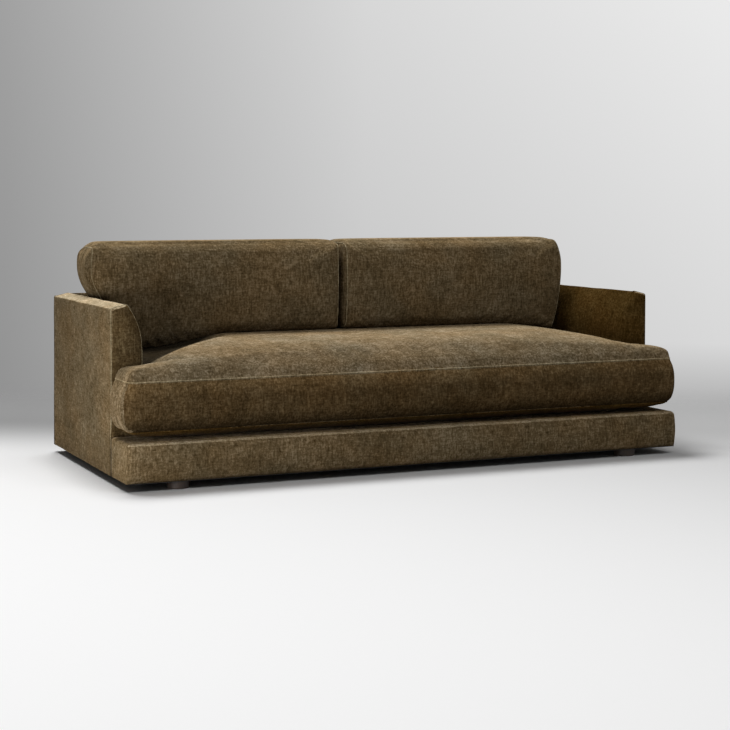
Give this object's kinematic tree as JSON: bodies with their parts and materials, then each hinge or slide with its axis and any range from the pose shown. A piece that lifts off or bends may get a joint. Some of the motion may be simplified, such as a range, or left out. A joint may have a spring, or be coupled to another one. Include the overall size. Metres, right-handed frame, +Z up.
{
  "type": "low sofa",
  "caption": "Low upholstered sofa with thin curved arms, a bench seat cushion whose ears wrap the arm fronts, loose back cushions and short round feet.",
  "frame": {"origin": "on the floor under the middle of the sofa's overall box", "axes": "+X along the width to the right as seen from the front, +Y to the back, +Z up; the front faces -Y"},
  "size_m": [2.134, 1.016, 0.808],
  "materials": {
    "frame_timber": "sawn pine and plywood, bare",
    "foot_wood": "turned wood, dark brown satin stain",
    "spring_steel": "drawn spring wire, oiled",
    "zinc_steel": "zinc plated",
    "pile_fabric": "olive brown chenille pile, matt with a soft sheen",
    "deck_lining": "plain woven lining",
    "dust_cloth": "black non-woven cloth",
    "foam": "polyurethane foam",
    "fibre_fill": "polyester fibre",
    "felt": "grey needled felt",
    "webbing": "elastic woven webbing",
    "hardboard": "pressed fibre board",
    "zip_tape": "woven tape with nylon coil",
    "zip_metal": "dark antique plated"
  },
  "bodies": {
    "frame": {"front_rail": "frame_timber", "rear_rail": "frame_timber", "left_side_rail": "frame_timber", "right_side_rail": "frame_timber", "spring_rail": "frame_timber", "cross_rails": "frame_timber", "foot_blocks": "frame_timber", "arm_front_boards": "frame_timber", "arm_rear_posts": "frame_timber", "arm_top_rails": "frame_timber", "arm_tack_rails": "frame_timber", "back_top_rail": "frame_timber", "back_tack_rail": "frame_timber", "back_posts": "frame_timber", "front_left_foot": "foot_wood", "front_right_foot": "foot_wood", "rear_left_foot": "foot_wood", "rear_right_foot": "foot_wood", "seat_springs": "spring_steel", "spring_clips": "spring_steel", "spring_tie_wires": "spring_steel", "foot_bolts": "zinc_steel", "foot_tee_nuts": "zinc_steel", "frame_screws": "zinc_steel", "base_cover": "pile_fabric", "left_arm_cover": "pile_fabric", "right_arm_cover": "pile_fabric", "left_arm_front_panel": "pile_fabric", "right_arm_front_panel": "pile_fabric", "inside_back_cover": "pile_fabric", "outside_back_cover": "pile_fabric", "deck_cloth": "deck_lining", "dust_cover": "dust_cloth", "left_arm_pad": "foam", "right_arm_pad": "foam", "base_pad": "foam", "back_pad": "foam", "deck_pad": "felt", "back_webbing": "webbing", "arm_outer_panels": "hardboard"},
    "seat_cushion": {"seat_foam_core": "foam", "seat_foam_ears": "foam", "seat_cover_top": "pile_fabric", "seat_cover_boxing": "pile_fabric", "seat_cover_bottom": "pile_fabric", "seat_zip_tape": "zip_tape"},
    "seat_zip_slider": {"seat_zip_slider": "zip_metal"},
    "left_back_cushion": {"left_back_cushion_fill": "fibre_fill", "left_back_cushion_cover_front": "pile_fabric", "left_back_cushion_cover_rear": "pile_fabric", "left_back_cushion_end_panels": "pile_fabric", "left_back_cushion_zip_tape": "zip_tape"},
    "left_back_zip_slider": {"left_back_cushion_zip_slider": "zip_metal"},
    "right_back_cushion": {"right_back_cushion_fill": "fibre_fill", "right_back_cushion_cover_front": "pile_fabric", "right_back_cushion_cover_rear": "pile_fabric", "right_back_cushion_end_panels": "pile_fabric", "right_back_cushion_zip_tape": "zip_tape"},
    "right_back_zip_slider": {"right_back_cushion_zip_slider": "zip_metal"}
  },
  "joints": [
    {"name": "seat_cushion_slide", "type": "slide", "parent": "frame", "child": "seat_cushion", "axis": [0, -1, 0], "range_m": [0, 0.7]},
    {"name": "left_back_cushion_lift", "type": "slide", "parent": "frame", "child": "left_back_cushion", "axis": [0, 0, 1], "range_m": [0, 0.25]},
    {"name": "right_back_cushion_lift", "type": "slide", "parent": "frame", "child": "right_back_cushion", "axis": [0, 0, 1], "range_m": [0, 0.25]},
    {"name": "seat_zip_slide", "type": "slide", "parent": "seat_cushion", "child": "seat_zip_slider", "axis": [1, 0, 0], "range_m": [0, 1.26]},
    {"name": "left_back_zip_slide", "type": "slide", "parent": "left_back_cushion", "child": "left_back_zip_slider", "axis": [1, 0, 0], "range_m": [0, 0.6]},
    {"name": "right_back_zip_slide", "type": "slide", "parent": "right_back_cushion", "child": "right_back_zip_slider", "axis": [-1, 0, 0], "range_m": [0, 0.6]}
  ]
}
